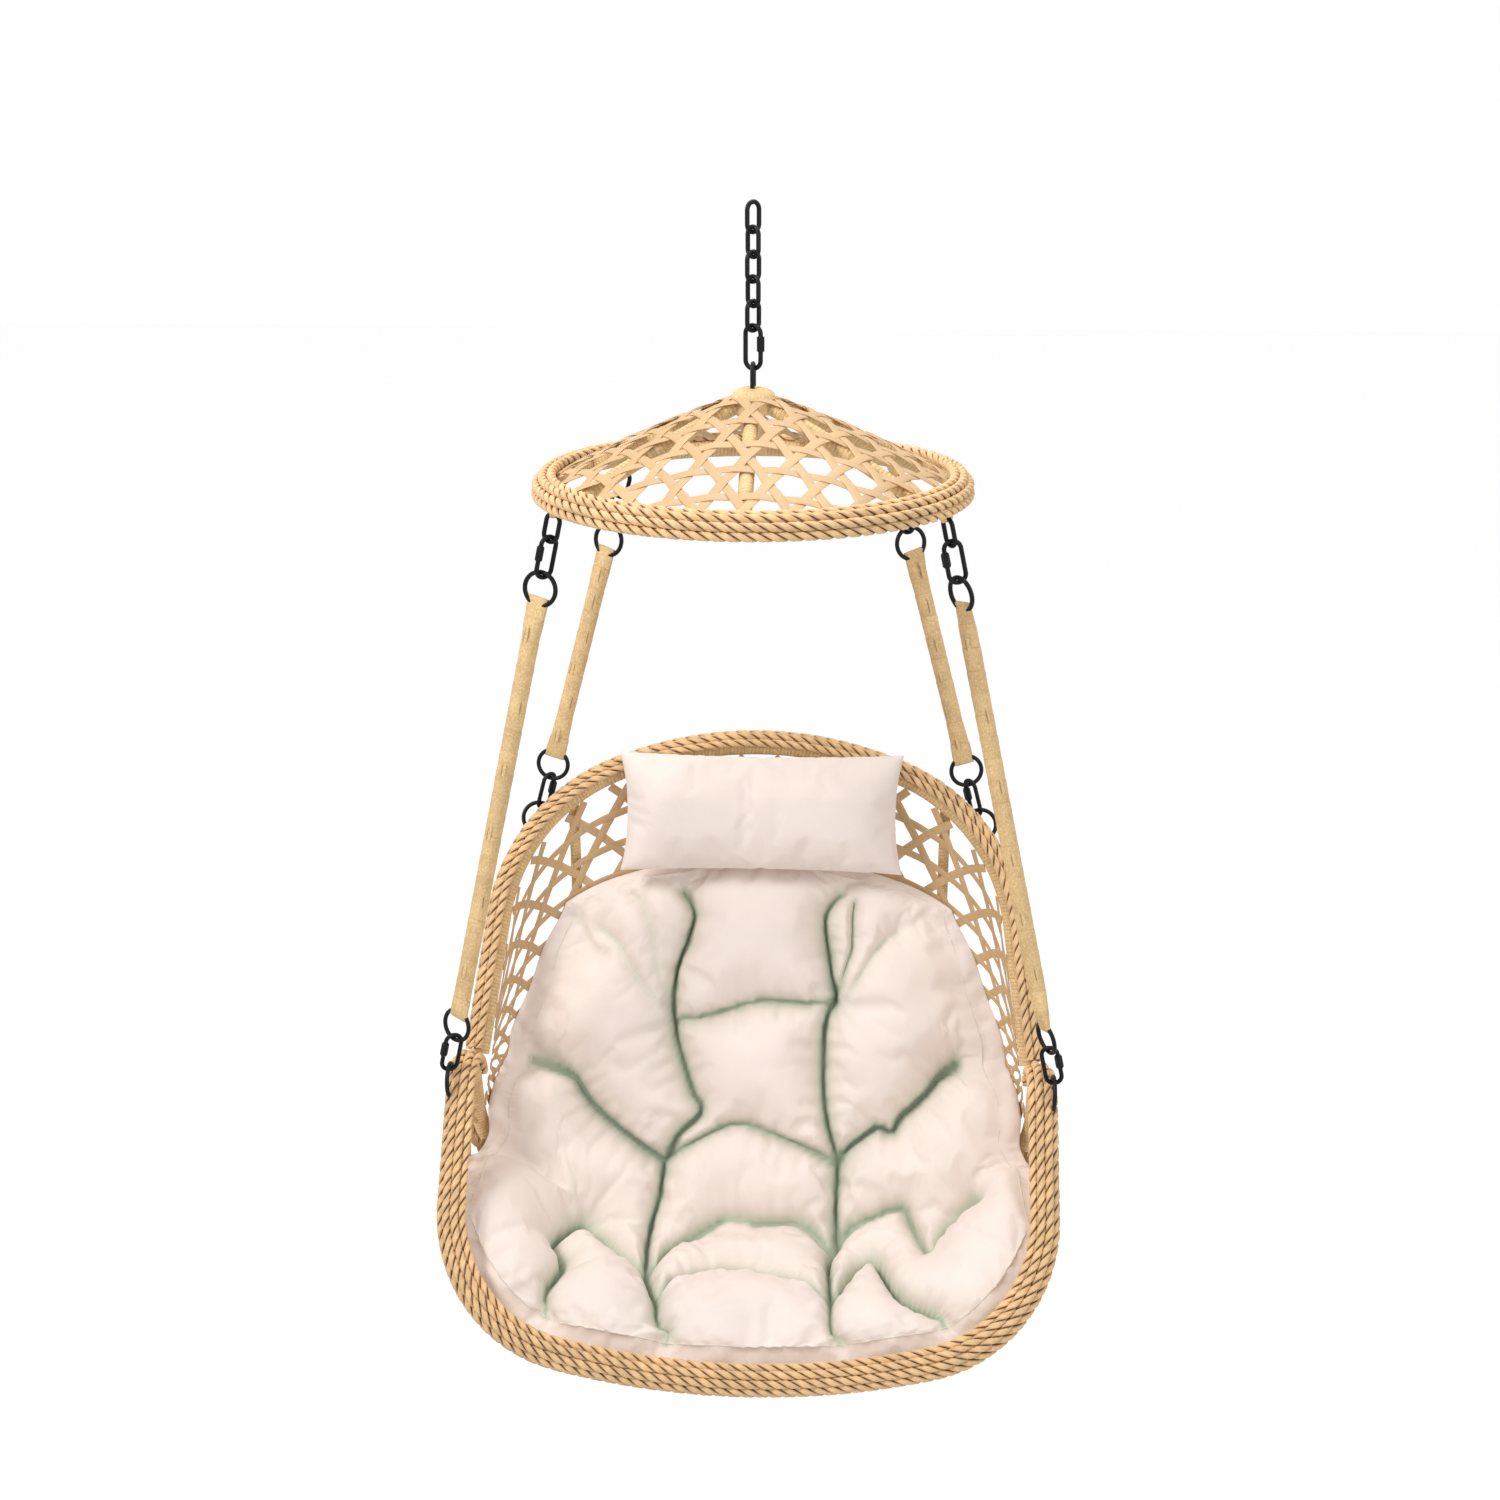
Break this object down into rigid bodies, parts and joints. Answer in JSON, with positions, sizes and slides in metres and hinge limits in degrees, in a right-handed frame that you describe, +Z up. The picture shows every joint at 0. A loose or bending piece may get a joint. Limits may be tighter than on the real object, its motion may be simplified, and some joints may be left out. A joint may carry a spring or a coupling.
{
  "type": "hanging egg chair",
  "caption": "One-seat hanging egg chair: a woven basket with tufted cushion and head pillow, hung by wrapped arms from a round woven canopy on a short chain.",
  "frame": {"origin": "hang point: the inside of the top chain link's upper bend, where the hook of a stand or ceiling bears", "axes": "+Z up, the front of the seat faces -Y, +X to the right as seen from behind the viewer facing the chair"},
  "size_m": [0.9986, 0.7234, 1.7704],
  "materials": {
    "black_metal": "gloss",
    "wrapped_cane": "matte",
    "twisted_rope": "matte",
    "woven_strip": "satin",
    "cloth": "woven"
  },
  "bodies": {
    "chain_1": {"link_1": "black_metal"},
    "chain_2": {"link_2": "black_metal"},
    "chain_3": {"link_3": "black_metal"},
    "chain_4": {"link_4": "black_metal"},
    "chain_5": {"link_5": "black_metal"},
    "hanger": {"top_link": "black_metal"},
    "hanger_sleeve": {"top_sleeve": "black_metal"},
    "canopy": {"canopy_eye": "black_metal", "canopy_hub": "wrapped_cane", "canopy_ribs": "wrapped_cane", "canopy_rim": "wrapped_cane", "canopy_ropes": "twisted_rope", "canopy_weave": "woven_strip", "canopy_tabs": "wrapped_cane", "tab_links": "black_metal"},
    "basket": {"seat_hoop": "wrapped_cane", "back_arch": "wrapped_cane", "back_ribs": "wrapped_cane", "seat_ribs": "wrapped_cane", "seat_ropes": "twisted_rope", "back_ropes": "twisted_rope", "seat_weave": "woven_strip", "back_weave": "woven_strip", "arm_rings": "black_metal", "back_rings": "black_metal", "cushion": "cloth", "pillow": "cloth"},
    "fl_strut": {"fl_upper_link": "black_metal", "fl_upper_ring": "black_metal", "fl_arm": "wrapped_cane", "fl_lower_ring": "black_metal", "fl_lower_link": "black_metal"},
    "fl_top_screw": {"fl_upper_sleeve": "black_metal"},
    "fl_low_screw": {"fl_lower_sleeve": "black_metal"},
    "fr_strut": {"fr_upper_link": "black_metal", "fr_upper_ring": "black_metal", "fr_arm": "wrapped_cane", "fr_lower_ring": "black_metal", "fr_lower_link": "black_metal"},
    "fr_top_screw": {"fr_upper_sleeve": "black_metal"},
    "fr_low_screw": {"fr_lower_sleeve": "black_metal"},
    "rl_strut": {"rl_upper_link": "black_metal", "rl_upper_ring": "black_metal", "rl_arm": "wrapped_cane", "rl_lower_ring": "black_metal", "rl_lower_link": "black_metal"},
    "rl_top_screw": {"rl_upper_sleeve": "black_metal"},
    "rl_low_screw": {"rl_lower_sleeve": "black_metal"},
    "rr_strut": {"rr_upper_link": "black_metal", "rr_upper_ring": "black_metal", "rr_arm": "wrapped_cane", "rr_lower_ring": "black_metal", "rr_lower_link": "black_metal"},
    "rr_top_screw": {"rr_upper_sleeve": "black_metal"},
    "rr_low_screw": {"rr_lower_sleeve": "black_metal"}
  },
  "joints": [
    {"name": "chain_swing_1", "type": "hinge", "parent": "chain_1", "child": "chain_2", "pos_m": [0, 0, -0.039], "axis": [0.7071, 0.7071, 0], "range_deg": [-25, 25]},
    {"name": "chain_twist_2", "type": "hinge", "parent": "chain_2", "child": "chain_3", "pos_m": [0, 0, -0.07055], "axis": [0, 0, 1], "range_deg": [-20, 20]},
    {"name": "chain_swing_3", "type": "hinge", "parent": "chain_3", "child": "chain_4", "pos_m": [0, 0, -0.1021], "axis": [0.7071, -0.7071, 0], "range_deg": [-25, 25]},
    {"name": "chain_twist_4", "type": "hinge", "parent": "chain_4", "child": "chain_5", "pos_m": [0, 0, -0.14095], "axis": [0, 0, 1], "range_deg": [-20, 20]},
    {"name": "hanger_swing", "type": "hinge", "parent": "chain_5", "child": "hanger", "pos_m": [0, 0, -0.1725], "axis": [0.9063, -0.4226, 0], "range_deg": [-20, 20]},
    {"name": "canopy_swing", "type": "hinge", "parent": "hanger", "child": "canopy", "pos_m": [0, 0, -0.2282], "axis": [0.0349, 0.9994, 0], "range_deg": [-20, 20]},
    {"name": "hanger_screw", "type": "slide", "parent": "hanger", "child": "hanger_sleeve", "axis": [0, 0, -1], "range_m": [0, 0.012]},
    {"name": "basket_sway", "type": "slide", "parent": "canopy", "child": "basket", "axis": [0, 1, 0], "range_m": [-0.025, 0.025]},
    {"name": "fl_swing", "type": "hinge", "parent": "canopy", "child": "fl_strut", "pos_m": [-0.29494, -0.10432, -0.4721], "axis": [1, 0, 0], "range_deg": [-1.71, 1.71]},
    {"name": "fl_top_screw_slide", "type": "slide", "parent": "fl_strut", "child": "fl_top_screw", "axis": [-0.2138, 0, -0.9769], "range_m": [0, 0.012]},
    {"name": "fl_low_screw_slide", "type": "slide", "parent": "fl_strut", "child": "fl_low_screw", "axis": [-0.2138, 0, -0.9769], "range_m": [0, 0.012]},
    {"name": "fr_swing", "type": "hinge", "parent": "canopy", "child": "fr_strut", "pos_m": [0.29494, -0.10432, -0.4721], "axis": [1, 0, 0], "range_deg": [-1.71, 1.71]},
    {"name": "fr_top_screw_slide", "type": "slide", "parent": "fr_strut", "child": "fr_top_screw", "axis": [0.2138, 0, -0.9769], "range_m": [0, 0.012]},
    {"name": "fr_low_screw_slide", "type": "slide", "parent": "fr_strut", "child": "fr_low_screw", "axis": [0.2138, 0, -0.9769], "range_m": [0, 0.012]},
    {"name": "rl_swing", "type": "hinge", "parent": "canopy", "child": "rl_strut", "pos_m": [-0.22564, 0.21567, -0.4717], "axis": [1, 0, 0], "range_deg": [-2.74, 2.74]},
    {"name": "rl_top_screw_slide", "type": "slide", "parent": "rl_strut", "child": "rl_top_screw", "axis": [-0.2556, 0, -0.9668], "range_m": [0, 0.012]},
    {"name": "rl_low_screw_slide", "type": "slide", "parent": "rl_strut", "child": "rl_low_screw", "axis": [-0.2556, 0, -0.9668], "range_m": [0, 0.012]},
    {"name": "rr_swing", "type": "hinge", "parent": "canopy", "child": "rr_strut", "pos_m": [0.22564, 0.21567, -0.4717], "axis": [1, 0, 0], "range_deg": [-2.74, 2.74]},
    {"name": "rr_top_screw_slide", "type": "slide", "parent": "rr_strut", "child": "rr_top_screw", "axis": [0.2556, 0, -0.9668], "range_m": [0, 0.012]},
    {"name": "rr_low_screw_slide", "type": "slide", "parent": "rr_strut", "child": "rr_low_screw", "axis": [0.2556, 0, -0.9668], "range_m": [0, 0.012]}
  ],
  "couplings": [
    {"joint": "fl_swing", "follows": "basket_sway", "rad_per_m": 1.153},
    {"joint": "fr_swing", "follows": "basket_sway", "rad_per_m": 1.153},
    {"joint": "rl_swing", "follows": "basket_sway", "rad_per_m": 1.8721},
    {"joint": "rr_swing", "follows": "basket_sway", "rad_per_m": 1.8721}
  ]
}
